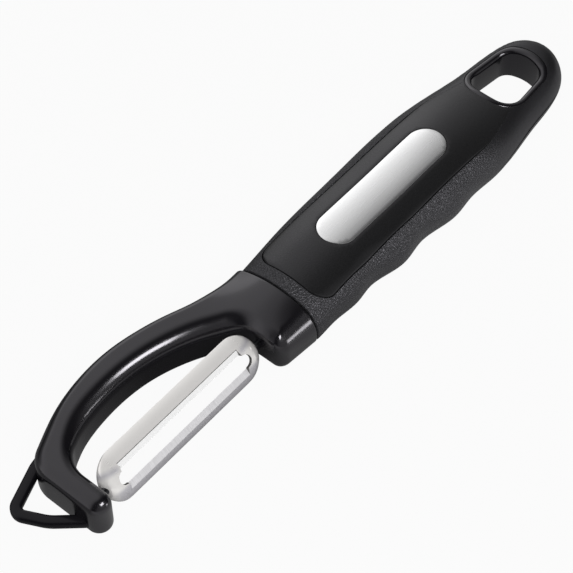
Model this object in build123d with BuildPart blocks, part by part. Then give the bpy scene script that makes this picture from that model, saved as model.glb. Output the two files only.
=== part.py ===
from math import cos, radians, sin, sqrt
import os

from build123d import *

# Vegetable peeler lying flat. +X runs along the handle from the blade to the hang hole, +Z is up,
# +Y is the side that the bow sweeps to. The origin is on the table, under the middle of the handle.
# All lengths are millimetres.

# Handle
handle_length = 106.5
handle_half_width = 15.1
neck_height = 12.4
panel_height = 13.4
butt_height = 9.8
crown_radius = 24.0
handle_top_round = 4.4
handle_belly_round = 3.5

# Head
neck_length = 11.8
neck_half_width = 12.3
neck_end_half_width = 11.4
neck_corner_round = 3.0
bow_reach = 52.4
bow_height = 11.0
bow_crown = 0.6
bow_outer_sweep = 19.4
bow_inner_sweep = 11.0
bow_top_round = 2.8
bow_belly_round = 1.6
outer_corner_round = 7.5
inner_corner_round = 8.0
inner_neck_round = 6.5
tip_bar = 6.2
tip_end_overhang = 5.0
tang_length = 26.0
tang_width = 11.0
tang_height = 5.6
tang_centre_height = 5.8
tang_round = 1.2

# Eye remover loop on the outside of the tip
loop_reach = 9.9
loop_corner_side = 9.4
loop_root_reach = 8.4
loop_root_side = 16.2
loop_far_knee_side = 14.2
loop_near_knee_reach = 5.6
loop_near_knee_side = 0.7
loop_knee_round = 12.0
loop_foot_side = 5.6
loop_strap = 2.1
loop_height = 2.8
loop_belly_height = 1.3
loop_round = 0.7
loop_corner_round = 3.4

# Blade: an arched strip of steel with a long slot, tilted about its own pivots
blade_end_gap = 0.8
blade_arch_radius = 8.0
blade_half_arch = 53.0
blade_sheet = 0.9
blade_rim_drop = 1.2
blade_end_round = 2.9
blade_tilt = 55.0
slot_end_wall = 3.7
slot_width = 3.4
edge_end_wall = 5.6
edge_gap = 3.9
edge_bevel = 1.7
pivot_side = 4.3
pivot_height = 6.2
pin_radius = 1.0
pin_reach = 4.2
pin_root = 0.6
pin_end_gap = 0.4

# Hang hole and its liner
hole_length = 17.8
hole_end_wall = 8.0
hole_neck_half_width = 7.4
hole_butt_half_width = 5.6
hole_bow = 1.7
hole_corner_round = 3.2
liner_wall = 1.9
liner_lip_round = 0.8

# Top panel, its groove and the steel inlay
panel_start_inset = 4.0
panel_half_width = 10.2
panel_corner_round = 4.4
panel_fade_inset = 37.0
groove_width = 0.6
groove_depth = 0.6
inlay_length = 44.0
inlay_width = 10.2
inlay_start_inset = 16.9
inlay_sheet = 0.6
inlay_gap = 0.12
tape_sheet = 0.2
tape_margin = 0.8

# Core under the soft grip
core_belly = 2.4
core_half_width = 9.4
core_neck_half_width = 8.4
core_end_half_width = 6.4

# Clearances, and the one overrun that every cut shares
seat_clearance = 0.1
pivot_clearance = 0.05
overrun = 5.0

joint_x = -handle_length / 2
butt_x = handle_length / 2
neck_face_x = joint_x - neck_length
tip_face_x = neck_face_x - bow_reach
tip_back_x = tip_face_x - tip_bar
blade_length = bow_reach - 2 * blade_end_gap


# A slice across the peeler: flat below, crowned on top
def crowned_slice(x, top, half_span, drop):
    with BuildSketch(Plane.YZ.offset(x)) as crowned:
        with BuildLine():
            Polyline((-half_span, top - drop), (-half_span, -overrun),
                     (half_span, -overrun), (half_span, top - drop))
            ThreePointArc((-half_span, top - drop), (0, top), (half_span, top - drop))
        make_face()
    return crowned.sketch


def crown_drop(half_span):
    return crown_radius - sqrt(crown_radius**2 - half_span**2)


# The handle's outline: shares of its length from the joint line, and of its half width
palm_side_shares = [(0.15, 0.9), (0.34, 0.967), (0.53, 1), (0.67, 0.935), (0.8, 0.805),
                    (0.915, 0.69), (0.963, 0.545)]
finger_side_shares = [(0.07, 0.805), (0.138, 0.84), (0.188, 0.8), (0.29, 0.92), (0.361, 0.862),
                      (0.47, 0.968), (0.5375, 0.925), (0.62, 0.955), (0.7, 0.915), (0.8, 0.81),
                      (0.915, 0.7), (0.963, 0.55)]
# The crown's line: shares of the handle's length, and of the drop from the panel to the butt
panel_line_shares = [(0.13, 0), (0.36, 0), (0.58, 0.08), (0.78, 0.88)]


def handle_place(length_share, width_share):
    return (joint_x + length_share * handle_length, width_share * handle_half_width)


with BuildSketch() as handle_outline:
    with BuildLine():
        handle_side = Spline(
            (joint_x, neck_half_width),
            *[handle_place(x, y) for x, y in palm_side_shares],
            (butt_x, 0),
            *[handle_place(x, -y) for x, y in reversed(finger_side_shares)],
            (joint_x, -neck_half_width),
            tangents=[(1, 0.06), (-1, 0.03)])
        Line(handle_side @ 1, handle_side @ 0)
    make_face()

handle_span = handle_half_width + inlay_sheet
panel_fall = panel_height - butt_height
handle_crowns = [(joint_x, neck_height),
                 *[(joint_x + x * handle_length, panel_height - fall * panel_fall)
                   for x, fall in panel_line_shares],
                 (butt_x + overrun, butt_height)]

with BuildPart() as handle_blank:
    add(handle_outline.sketch)
    extrude(amount=panel_height + overrun)
    loft(sections=[crowned_slice(x, top, handle_span, crown_drop(handle_span))
                   for x, top in handle_crowns], mode=Mode.INTERSECT)
    crown_face = handle_blank.faces().sort_by(Axis.Z)[-1]
    fillet(crown_face.edges().sort_by(Axis.X)[1:], handle_top_round)
    belly_face = handle_blank.faces().sort_by(Axis.Z)[0]
    fillet(belly_face.edges().sort_by(Axis.X)[1:], handle_belly_round)

# Hang hole: a rounded trapezoid with bowed ends
hole_butt_x = butt_x - hole_end_wall
hole_neck_x = hole_butt_x - hole_length
with BuildSketch() as hang_hole:
    with BuildLine():
        neck_corner = (hole_neck_x + hole_bow, hole_neck_half_width)
        butt_corner = (hole_butt_x - hole_bow, hole_butt_half_width)
        Line(neck_corner, butt_corner)
        ThreePointArc(butt_corner, (hole_butt_x, 0), (butt_corner[0], -hole_butt_half_width))
        Line((butt_corner[0], -hole_butt_half_width), (neck_corner[0], -hole_neck_half_width))
        ThreePointArc((neck_corner[0], -hole_neck_half_width), (hole_neck_x, 0), neck_corner)
    make_face()
    fillet(hang_hole.vertices(), hole_corner_round)

# Top panel: parallel sides that draw in to the hang hole's liner
panel_start_x = joint_x + panel_start_inset
panel_fade_x = butt_x - panel_fade_inset
panel_end_x = hole_neck_x
panel_end_half_width = hole_neck_half_width
with BuildSketch() as panel_outline:
    with BuildLine():
        Polyline((panel_start_x, -panel_half_width), (panel_fade_x, -panel_half_width),
                 (panel_end_x, -panel_end_half_width), (panel_end_x, panel_end_half_width),
                 (panel_fade_x, panel_half_width), (panel_start_x, panel_half_width), close=True)
    make_face()
    fillet(panel_outline.vertices().group_by(Axis.X)[0], panel_corner_round)

inlay_x = joint_x + inlay_start_inset + inlay_length / 2
inlay_stack = inlay_sheet + tape_sheet


def inlay_outline(grow):
    with BuildSketch() as outline:
        with Locations((inlay_x, 0)):
            SlotOverall(inlay_length + 2 * grow, inlay_width + 2 * grow)
    return outline.sketch


# What stands over an outline, down to a depth below the handle's top surface
def above_skin(outline, depth):
    with BuildPart() as cutter:
        add(outline)
        extrude(amount=panel_height + overrun)
        with Locations((0, 0, -depth)):
            add(handle_blank.part, mode=Mode.SUBTRACT)
    return cutter.part


# A sheet that follows the handle's top surface at a depth
def skin_sheet(outline, depth, thickness):
    with BuildPart() as sheet:
        add(outline)
        extrude(amount=panel_height)
        with Locations((0, 0, -depth)):
            add(handle_blank.part, mode=Mode.INTERSECT)
        with Locations((0, 0, -depth - thickness)):
            add(handle_blank.part, mode=Mode.SUBTRACT)
    return sheet.part


with BuildPart() as inlay_plate:
    add(skin_sheet(inlay_outline(0), 0, inlay_sheet))
inlay_plate.part.label = "inlay_plate"

with BuildPart() as inlay_tape:
    add(skin_sheet(inlay_outline(-tape_margin), inlay_sheet, tape_sheet))
inlay_tape.part.label = "inlay_tape"

# The liner of the hang hole shows as a glossy rim on both faces
with BuildPart() as liner_space:
    with BuildSketch():
        offset(hang_hole.sketch, amount=liner_wall)
    extrude(amount=panel_height)

with BuildPart() as hang_hole_liner:
    with BuildSketch():
        offset(hang_hole.sketch, amount=liner_wall)
        add(hang_hole.sketch, mode=Mode.SUBTRACT)
    extrude(amount=panel_height)
    add(handle_blank.part, mode=Mode.INTERSECT)
    fillet(hang_hole_liner.faces().sort_by(Axis.Z)[-1].inner_wires().edges(), liner_lip_round)
    fillet(hang_hole_liner.faces().sort_by(Axis.Z)[0].inner_wires().edges(), liner_lip_round)
hang_hole_liner.part.label = "hang_hole_liner"

# The hard core: a bar along the handle under the panel, and the panel itself up to the surface
core_mid_x = (joint_x + panel_end_x) / 2
with BuildPart() as core_bar:
    with BuildSketch(Plane.XY.offset(core_belly)):
        with BuildLine():
            ThreePointArc((joint_x, core_neck_half_width), (core_mid_x, core_half_width),
                          (panel_end_x, core_end_half_width))
            Line((panel_end_x, core_end_half_width), (panel_end_x, -core_end_half_width))
            ThreePointArc((panel_end_x, -core_end_half_width), (core_mid_x, -core_half_width),
                          (joint_x, -core_neck_half_width))
            Line((joint_x, -core_neck_half_width), (joint_x, core_neck_half_width))
        make_face()
    extrude(amount=tang_centre_height - core_belly)

with BuildPart() as core_space:
    with BuildSketch(Plane.XY.offset(tang_centre_height)):
        add(panel_outline.sketch)
    extrude(amount=panel_height)
    add(core_bar.part)


# The head's tang, or with a clearance the socket that takes it
def tang_shape(clearance):
    with BuildPart() as shape:
        with BuildSketch(Plane.YZ.offset(joint_x - overrun)):
            with Locations((0, tang_centre_height)):
                RectangleRounded(tang_width + 2 * clearance, tang_height + 2 * clearance,
                                 tang_round + clearance)
        extrude(amount=overrun + tang_length + clearance)
    return shape.part


tang_socket = tang_shape(seat_clearance)

with BuildPart() as handle_core:
    add(core_space.part)
    add(handle_blank.part, mode=Mode.INTERSECT)
    add(liner_space.part, mode=Mode.SUBTRACT)
    add(above_skin(inlay_outline(inlay_gap), inlay_stack), mode=Mode.SUBTRACT)
    add(tang_socket, mode=Mode.SUBTRACT)
handle_core.part.label = "handle_core"

# Soft grip: the rest of the handle, with a fine groove round the panel
with BuildSketch() as groove_ring:
    offset(panel_outline.sketch, amount=groove_width)
    add(panel_outline.sketch, mode=Mode.SUBTRACT)
    with Locations((panel_fade_x, 0)):
        Rectangle(handle_length, handle_length, align=(Align.MAX, Align.CENTER),
                  mode=Mode.INTERSECT)

with BuildPart() as soft_grip:
    add(handle_blank.part)
    add(core_space.part, mode=Mode.SUBTRACT)
    add(liner_space.part, mode=Mode.SUBTRACT)
    add(tang_socket, mode=Mode.SUBTRACT)
    add(above_skin(groove_ring.sketch, groove_depth), mode=Mode.SUBTRACT)
soft_grip.part.label = "soft_grip"

# Head: shares of its reach from the joint line and of its outer sweep, then along the inner bow
# from the tip's face back to the neck, as shares of the bow's reach and inner sweep
outer_bow_shares = [(0.06, 0.613), (0.149, 0.634), (0.227, 0.7), (0.305, 0.81), (0.415, 0.935),
                    (0.518, 1), (0.629, 1), (0.753, 0.925), (0.854, 0.81)]
outer_bow_end_shares = (0.925, 0.7)
outer_corner_share = 0.58
inner_bow_start_shares = (0.884, 0.755)
inner_bow_shares = [(0.705, 0.965), (0.556, 1), (0.409, 0.925), (0.28, 0.75)]
inner_bow_end_shares = (0.12, 0.38)
inner_tip_share = 0.51
inner_neck_share = 0.02
head_reach = joint_x - tip_back_x
tip_end_y = -pivot_side - tip_end_overhang
tip_centre_x = (tip_face_x + tip_back_x) / 2
tip_shoulder_y = tip_end_y + tip_bar / 2


def outer_place(reach_share, sweep_share):
    return (joint_x - reach_share * head_reach, sweep_share * bow_outer_sweep)


def inner_place(reach_share, sweep_share):
    return (neck_face_x - reach_share * bow_reach, sweep_share * bow_inner_sweep)


outer_bow_end = outer_place(*outer_bow_end_shares)
outer_corner = (tip_back_x, outer_corner_share * bow_outer_sweep)
inner_bow_start = inner_place(*inner_bow_start_shares)
inner_bow_end = inner_place(*inner_bow_end_shares)
inner_tip_corner = (tip_face_x, inner_tip_share * bow_inner_sweep)
inner_neck_corner = (neck_face_x, inner_neck_share * bow_inner_sweep)

with BuildSketch() as head_outline:
    with BuildLine():
        Spline((joint_x, neck_half_width), *[outer_place(*shares) for shares in outer_bow_shares],
               outer_bow_end,
               tangents=[(-1, -0.06), Vector(outer_corner) - Vector(outer_bow_end)])
        Polyline(outer_bow_end, outer_corner, (tip_back_x, tip_shoulder_y))
        ThreePointArc((tip_back_x, tip_shoulder_y), (tip_centre_x, tip_end_y),
                      (tip_face_x, tip_shoulder_y))
        Polyline((tip_face_x, tip_shoulder_y), inner_tip_corner, inner_bow_start)
        Spline(inner_bow_start, *[inner_place(*shares) for shares in inner_bow_shares],
               inner_bow_end,
               tangents=[Vector(inner_bow_start) - Vector(inner_tip_corner),
                         Vector(inner_neck_corner) - Vector(inner_bow_end)])
        Polyline(inner_bow_end, inner_neck_corner, (neck_face_x, -neck_end_half_width),
                 (joint_x, -neck_half_width), (joint_x, neck_half_width))
    make_face()
    for corner, radius in ((outer_corner, outer_corner_round),
                           (inner_tip_corner, inner_corner_round),
                           (inner_neck_corner, inner_neck_round),
                           ((neck_face_x, -neck_end_half_width), neck_corner_round)):
        fillet(head_outline.vertices().sort_by_distance(corner)[0], radius)

bow_span = bow_outer_sweep + overrun
neck_span = neck_half_width + overrun / 2
head_crowns = [(joint_x, neck_height, neck_span, crown_drop(neck_span)),
               (neck_face_x, (neck_height + bow_height) / 2, bow_outer_sweep, 3 * bow_crown),
               (neck_face_x - neck_length, bow_height, bow_span, bow_crown),
               (tip_face_x, bow_height, bow_span, bow_crown),
               (tip_back_x - overrun, bow_height, bow_span, bow_crown)]

# The eye remover's strap, before it joins the tip
loop_root = (tip_face_x + loop_root_reach, loop_root_side)
loop_far_knee = (tip_centre_x, loop_far_knee_side)
loop_corner = (tip_back_x - loop_reach, loop_corner_side)
loop_near_knee = (tip_back_x - loop_near_knee_reach, loop_near_knee_side)
loop_foot = (tip_back_x, -loop_foot_side)
with BuildPart() as loop_strap_piece:
    with BuildSketch(Plane.XY.offset(loop_belly_height)) as loop_outline:
        with BuildLine():
            Polyline(loop_root, loop_far_knee, loop_corner, loop_near_knee, loop_foot,
                     (tip_centre_x, -loop_foot_side), (tip_centre_x, 0), close=True)
        make_face()
        for corner, radius in ((loop_far_knee, loop_knee_round), (loop_corner, loop_corner_round),
                               (loop_near_knee, loop_knee_round)):
            fillet(loop_outline.vertices().sort_by_distance(corner)[0], radius)
        offset(amount=-loop_strap, mode=Mode.SUBTRACT)
    extrude(amount=loop_height)
    fillet(loop_strap_piece.faces().filter_by(Axis.Z).edges(), loop_round)

pivot_bore_radius = pin_radius + pivot_clearance
pivot_y = -pivot_side


# A round bar along the pivot axis, between two places along the peeler
def pivot_bar(start_x, end_x, radius):
    with BuildPart() as bar:
        with BuildSketch(Plane.YZ.offset(start_x)):
            with Locations((pivot_y, pivot_height)):
                Circle(radius)
        extrude(amount=end_x - start_x)
    return bar.part


bore_depth = pin_reach + pin_end_gap

with BuildPart() as bow_head:
    add(head_outline.sketch)
    extrude(amount=neck_height + overrun)
    loft(sections=[crowned_slice(*crown) for crown in head_crowns], mode=Mode.INTERSECT)
    bow_crown_face = bow_head.faces().sort_by(Axis.Z)[-1]
    fillet(bow_crown_face.edges().sort_by(Axis.X)[:-1], bow_top_round)
    bow_belly_face = bow_head.faces().sort_by(Axis.Z)[0]
    fillet(bow_belly_face.edges().sort_by(Axis.X)[:-1], bow_belly_round)
    add(loop_strap_piece.part)
    add(tang_shape(0))
    add(pivot_bar(neck_face_x - overrun, neck_face_x + bore_depth, pivot_bore_radius),
        mode=Mode.SUBTRACT)
    add(pivot_bar(tip_face_x - bore_depth, tip_face_x + overrun, pivot_bore_radius),
        mode=Mode.SUBTRACT)
bow_head.part.label = "bow_head"

# Blade, built on a plane through its pivots that is tilted with it
tilt = radians(blade_tilt)
half_arch = radians(blade_half_arch)
blade_x = (neck_face_x + tip_face_x) / 2
blade_width = 2 * blade_arch_radius * sin(half_arch)
arch_centre = -blade_arch_radius * cos(half_arch) - blade_rim_drop
blade_crown = arch_centre + blade_arch_radius
pivot_point = (blade_x, pivot_y, pivot_height)
blade_up = (0, -sin(tilt), cos(tilt))
blade_across = (0, cos(tilt), sin(tilt))
flat_plane = Plane(origin=pivot_point, x_dir=(1, 0, 0), z_dir=blade_up)
arch_plane = Plane(origin=pivot_point, x_dir=blade_across, z_dir=(1, 0, 0))
side_plane = Plane(origin=pivot_point, x_dir=(1, 0, 0), z_dir=(0, -cos(tilt), -sin(tilt)))


# The arched body, drawn in from its outer surface by a depth
def arched_body(depth, base):
    with BuildPart() as body:
        with BuildSketch(flat_plane.offset(base)):
            SlotOverall(blade_length - 2 * depth, blade_width - 2 * depth)
        extrude(amount=blade_width)
        with BuildSketch(arch_plane):
            with Locations((0, arch_centre)):
                Circle(blade_arch_radius - depth)
        extrude(amount=blade_length, both=True, mode=Mode.INTERSECT)
        with BuildSketch(side_plane) as profile:
            with Locations((0, blade_crown - depth)):
                Rectangle(blade_length - 2 * depth, blade_width, align=(Align.CENTER, Align.MAX))
            fillet(profile.vertices().group_by(Axis.Y)[-1], blade_end_round - depth)
        extrude(amount=blade_width, both=True, mode=Mode.INTERSECT)
    return body.part


front_pin_root_x = tip_face_x + blade_end_gap + blade_sheet + pin_root
rear_pin_root_x = neck_face_x - blade_end_gap - blade_sheet - pin_root
with BuildPart() as front_pivot_pin:
    add(pivot_bar(tip_face_x - pin_reach, front_pin_root_x, pin_radius))
front_pivot_pin.part.label = "front_pivot_pin"

with BuildPart() as rear_pivot_pin:
    add(pivot_bar(rear_pin_root_x, neck_face_x + pin_reach, pin_radius))
rear_pivot_pin.part.label = "rear_pivot_pin"

# The two ground bevels run from the outer face down to the cutting edges at the inner face
edge_side = edge_gap / 2
bevel_side = edge_side + edge_bevel
inner_radius = blade_arch_radius - blade_sheet
edge_height = arch_centre + sqrt(inner_radius**2 - edge_side**2)
bevel_height = arch_centre + sqrt(blade_arch_radius**2 - bevel_side**2)

with BuildPart() as blade:
    add(arched_body(0, -blade_rim_drop))
    add(arched_body(blade_sheet, -blade_rim_drop - overrun), mode=Mode.SUBTRACT)
    with BuildSketch(flat_plane):
        SlotOverall(blade_length - 2 * slot_end_wall, slot_width)
    extrude(amount=blade_width, mode=Mode.SUBTRACT)
    with BuildSketch(arch_plane):
        with BuildLine():
            Polyline((-edge_side, 0), (edge_side, 0), (edge_side, edge_height),
                     (bevel_side, bevel_height), (bevel_side, blade_width),
                     (-bevel_side, blade_width), (-bevel_side, bevel_height),
                     (-edge_side, edge_height), close=True)
        make_face()
    extrude(amount=blade_length / 2 - edge_end_wall, both=True, mode=Mode.SUBTRACT)
    add(front_pivot_pin.part, mode=Mode.SUBTRACT)
    add(rear_pivot_pin.part, mode=Mode.SUBTRACT)
blade.part.label = "blade"

os.makedirs("parts", exist_ok=True)
for piece in (handle_core, soft_grip, hang_hole_liner, inlay_plate, inlay_tape, bow_head, blade,
              front_pivot_pin, rear_pivot_pin):
    export_step(piece.part, f"parts/{piece.part.label}.step")
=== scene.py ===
import math

import bmesh
import bpy
import numpy as np
from mathutils import Matrix, Vector
from mathutils.geometry import delaunay_2d_cdt


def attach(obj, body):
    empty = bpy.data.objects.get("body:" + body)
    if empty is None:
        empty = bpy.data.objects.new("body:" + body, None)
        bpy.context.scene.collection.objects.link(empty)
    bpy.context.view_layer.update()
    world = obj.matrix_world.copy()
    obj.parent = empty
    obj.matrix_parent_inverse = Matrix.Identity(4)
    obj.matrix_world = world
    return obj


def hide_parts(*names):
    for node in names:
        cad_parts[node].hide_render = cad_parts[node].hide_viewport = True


# A swivel vegetable peeler on a pale table. Shapes are worked out in millimetres, made in metres.
mm = 0.001

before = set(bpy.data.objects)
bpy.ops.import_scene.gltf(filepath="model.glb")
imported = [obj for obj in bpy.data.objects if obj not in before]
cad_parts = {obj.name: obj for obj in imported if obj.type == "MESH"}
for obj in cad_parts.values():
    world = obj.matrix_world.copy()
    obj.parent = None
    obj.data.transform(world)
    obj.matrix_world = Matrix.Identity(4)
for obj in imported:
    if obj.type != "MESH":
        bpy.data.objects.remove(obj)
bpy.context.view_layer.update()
scene = bpy.context.scene
scene.view_settings.view_transform = "Standard"
print("frame loaded:", sorted(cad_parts))

cameraSet = {  # at the photograph's angle
    "place": (-0.2649, -0.1803, 0.37815),
    "right": (0.6426, -0.7662, 0.0),
    "up": (0.6100, 0.5116, 0.6051),
    "back": (-0.4636, -0.3889, 0.7962),
    "lens": 125.65,
    "sensor": 36.0,
    "clip": 0.01,
}
cameraData = bpy.data.cameras.new("camera")
cameraData.lens = cameraSet["lens"]
cameraData.sensor_width = cameraSet["sensor"]
cameraData.clip_start = cameraSet["clip"]
camera = bpy.data.objects.new("camera", cameraData)
turn = Matrix([cameraSet["right"], cameraSet["up"], cameraSet["back"]]).transposed()
camera.matrix_world = Matrix.Translation(cameraSet["place"]) @ turn.to_4x4()
scene.collection.objects.link(camera)
scene.camera = camera

meshSet = {
    "merge": 1e-7,  # points nearer than this are one, in metres
    "planMerge": 1e-6,  # and the same in a cap's plan, in millimetres
    "shortest": 0.02,  # side of an outline, and of the rim that a cut leaves
    "fullRound": 0.9999,  # a round end's radius beside half its width
    "rowPitch": 0.87, "borderClear": 0.55,  # a cap's grid, in spacings
    "wallShares": (0.33, 0.67),  # rings on an upright wall
    "rimAngles": (30, 60, 90), "crease": 35.0,
}


# Outlines in plan are rows of x, y

def unit(way):
    way = np.array(way, float)
    return way / np.linalg.norm(way)


def angleOf(way):
    return math.atan2(way[1], way[0])


# Unit normals on the left of rows of ways
def leftOf(ways):
    ways = ways / np.linalg.norm(ways, axis=1)[:, None]
    return np.column_stack([-ways[:, 1], ways[:, 0]])


# Unit normals that point into a closed outline, which runs anticlockwise
def inwardNormals(outline):
    ahead = np.roll(outline, -1, axis=0) - outline
    ahead /= np.linalg.norm(ahead, axis=1)[:, None]
    return leftOf(ahead + np.roll(ahead, 1, axis=0))


def anticlockwise(outline):
    x, y = outline.T
    area = np.sum(x * np.roll(y, -1) - np.roll(x, -1) * y)
    return outline if area > 0 else outline[::-1]


# Smooth step from 0 to 1 between two values
def fade(value, low, high):
    t = np.clip((value - low) / (high - low), 0, 1)
    return t * t * (3 - 2 * t)


# Slopes at the points of a smooth curve whose two end slopes are given
def curveSlopes(points, gaps, startSlope, endSlope):
    count = len(points)
    system = np.zeros((count, count))
    target = np.zeros(points.shape)
    system[0, 0] = system[-1, -1] = 1
    target[0], target[-1] = startSlope, endSlope
    for i in range(1, count - 1):
        before, after = gaps[i - 1], gaps[i]
        system[i, i - 1:i + 2] = after, 2 * (before + after), before
        target[i] = 3 * (after * (points[i] - points[i - 1]) / before
                         + before * (points[i + 1] - points[i]) / after)
    return np.linalg.solve(system, target)


# The place on such a curve at the share u of the gap from a to b
def curvePlace(u, gap, a, b, slopeA, slopeB):
    return ((2 * u**3 - 3 * u**2 + 1) * a + (u**3 - 2 * u**2 + u) * gap * slopeA
            + (3 * u**2 - 2 * u**3) * b + (u**3 - u**2) * gap * slopeB)


# A smooth line through the points that leaves and arrives in the given directions
def smoothLine(points, startWay, endWay, step):
    points = np.array(points, float)
    gaps = np.linalg.norm(np.diff(points, axis=0), axis=1)
    slopes = curveSlopes(points, gaps, unit(startWay), unit(endWay))
    line = []
    for i, gap in enumerate(gaps):
        parts = max(2, int(round(gap / step)))
        line += [curvePlace(u, gap, *points[i:i + 2], *slopes[i:i + 2])
                 for u in np.arange(parts) / parts]
    return np.array([*line, points[-1]])


# A smooth curve of heights along x through the stations given
def heightLine(stations):
    x, z = np.array(stations, float).T
    gaps = np.diff(x)
    slopes = curveSlopes(z, gaps, (z[1] - z[0]) / gaps[0], (z[-1] - z[-2]) / gaps[-1])

    def height(at):
        at = np.clip(np.asarray(at, float), x[0], x[-1])
        i = np.clip(np.searchsorted(x, at, side="right") - 1, 0, len(x) - 2)
        return curvePlace((at - x[i]) / gaps[i], gaps[i], z[i], z[i + 1], slopes[i], slopes[i + 1])
    return height


# A closed or open path of straight runs with rounded corners; a radius of 0 keeps the point
def roundedPath(corners, step, closed=True):
    places = [np.array(c[:2], float) for c in corners]
    count = len(places)
    path = []
    for i, (place, corner) in enumerate(zip(places, corners)):
        radius = corner[2] if len(corner) > 2 else 0
        if radius == 0 or (not closed and i in (0, count - 1)):
            path.append(place)
            continue
        back, ahead = unit(places[i - 1] - place), unit(places[(i + 1) % count] - place)
        half = math.acos(np.clip(back @ ahead, -1, 1)) / 2
        centre = place + unit(back + ahead) * radius / math.sin(half)
        start, end = (angleOf(place + way * radius / math.tan(half) - centre)
                      for way in (back, ahead))
        sweep = (end - start + math.pi) % (2 * math.pi) - math.pi
        parts = max(6, int(abs(sweep) * radius / step))
        for angle in start + sweep * np.arange(parts + 1) / parts:
            path.append(centre + radius * np.array([math.cos(angle), math.sin(angle)]))
    return spaced(path, step, closed)


# Divides long runs so that no gap is much over the step, and drops doubles
def spaced(path, step, closed=True):
    path = [np.array(p, float) for p in path]
    rows = []
    for a, b in zip(path, path[1:] + path[:1] if closed else path[1:]):
        gap = np.linalg.norm(b - a)
        if gap >= meshSet["shortest"]:
            parts = math.ceil(gap / step)
            rows += [a + (b - a) * k / parts for k in range(parts)]
    if not closed:
        rows.append(path[-1])
    return np.array(rows)


def insideOutline(points, outline):
    inside = np.zeros(len(points), bool)
    for a, b in zip(outline, np.roll(outline, -1, axis=0)):
        if a[1] == b[1]:
            continue
        crosses = (a[1] > points[:, 1]) != (b[1] > points[:, 1])
        at = a[0] + (points[:, 1] - a[1]) * (b[0] - a[0]) / (b[1] - a[1])
        inside ^= crosses & (points[:, 0] < at)
    return inside


# Which points are inside the first outline and outside the others
def insideFirst(points, plans):
    inside = insideOutline(points, plans[0])
    for plan in plans[1:]:
        inside &= ~insideOutline(points, plan)
    return inside


# The triangles reached from the largest one between the outlines without crossing a border
def spreadInside(places, triangles, borders, plans):
    def sidesOf(n):
        a, b, c = triangles[n]
        return frozenset((a, b)), frozenset((b, c)), frozenset((c, a))

    corners = places[np.array([list(t) for t in triangles])]
    one, two = corners[:, 1] - corners[:, 0], corners[:, 2] - corners[:, 0]
    areas = np.abs(one[:, 0] * two[:, 1] - one[:, 1] * two[:, 0])
    touching = {}
    for n in range(len(triangles)):
        for side in sidesOf(n):
            touching.setdefault(side, []).append(n)
    start = int(np.argmax(areas * insideFirst(corners.mean(1), plans)))
    reached, waiting = {start}, [start]
    while waiting:
        for side in sidesOf(waiting.pop()):
            if side not in borders:
                fresh = [n for n in touching[side] if n not in reached]
                reached.update(fresh)
                waiting += fresh
    return sorted(reached)


# A shape in millimetres, built from rings and the caps that fill them; marks are material numbers
class Shell:
    def __init__(self):
        self.points, self.faces, self.marks = [], [], []

    def ring(self, plan, heights):
        first = len(self.points)
        self.points += [(p[0], p[1], h) for p, h in zip(plan, np.broadcast_to(heights, len(plan)))]
        return list(range(first, first + len(plan)))

    def join(self, a, b, marks=None):
        for i, mark in enumerate(marks or [0] * len(a)):
            k = (i + 1) % len(a)
            self.faces.append((a[i], a[k], b[k], b[i]))
            self.marks.append(mark)

    # Joins each ring to the next, and gives back the first and the last
    def stack(self, rings):
        for a, b in zip(rings, rings[1:]):
            self.join(a, b)
        return rings[0], rings[-1]

    # Fills between a ring and the rings inside it, over a grid of points that follows the surface
    def cap(self, outer, inner, surface, spacing):
        rings = [outer, *inner]
        plans = [np.array([self.points[i][:2] for i in ring]) for ring in rings]
        border = np.concatenate(plans)
        ids = [i for ring in rings for i in ring]
        edges = []
        for ring in rings:
            start, count = len(edges), len(ring)
            edges += [(start + k, start + (k + 1) % count) for k in range(count)]
        low, high = plans[0].min(0), plans[0].max(0)
        rows = np.arange(low[1], high[1], spacing * meshSet["rowPitch"])
        grid = np.array([(x + (n % 2) * spacing / 2, y) for n, y in enumerate(rows)
                         for x in np.arange(low[0], high[0], spacing)])
        grid = grid[insideFirst(grid, plans)]
        near = np.array([np.min(np.hypot(*(border - p).T)) for p in grid])
        grid = grid[near > meshSet["borderClear"] * spacing]
        ids += self.ring(grid, surface(*grid.T))
        places, sides, triangles, origins, sideOrigins, _ = delaunay_2d_cdt(
            [Vector(p) for p in (*border, *grid)], edges, [], 0, meshSet["planMerge"])
        places = np.array([tuple(p) for p in places])
        borders = {frozenset(side) for side, origin in zip(sides, sideOrigins) if origin}
        for n in spreadInside(places, triangles, borders, plans):
            self.faces.append(tuple(ids[origins[v][0]] for v in triangles[n]))
            self.marks.append(0)


# Turns a shell in millimetres into an object in metres
def makeObject(name, shell, materials, crease=meshSet["crease"], place=None, cut=None):
    points = np.array(shell.points, float)
    if place is not None:
        points = place(points)
    mesh = bpy.data.meshes.new(name)
    mesh.from_pydata((points * mm).tolist(), [], shell.faces)
    mesh.polygons.foreach_set("material_index", shell.marks)
    return finishMesh(name, mesh, materials, crease, cut)


# Merges doubles, cuts where asked, turns the faces outwards and makes the mesh an object
def finishMesh(name, mesh, materials, crease, cut=None):
    work = bmesh.new()
    work.from_mesh(mesh)
    bmesh.ops.remove_doubles(work, verts=work.verts, dist=meshSet["merge"])
    if cut is not None:
        cutAcross(work, *cut)
    bmesh.ops.recalc_face_normals(work, faces=work.faces)
    loose = [e for e in work.edges if len(e.link_faces) != 2]
    print(f"{name}: {len(work.faces)} faces, {len(loose)} open edges")
    work.to_mesh(mesh)
    work.free()
    for material in materials:
        mesh.materials.append(material)
    mesh.polygons.foreach_set("use_smooth", [True] * len(mesh.polygons))
    mesh.set_sharp_from_angle(angle=math.radians(crease))
    piece = bpy.data.objects.new(name, mesh)
    scene.collection.objects.link(piece)
    return piece


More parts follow.
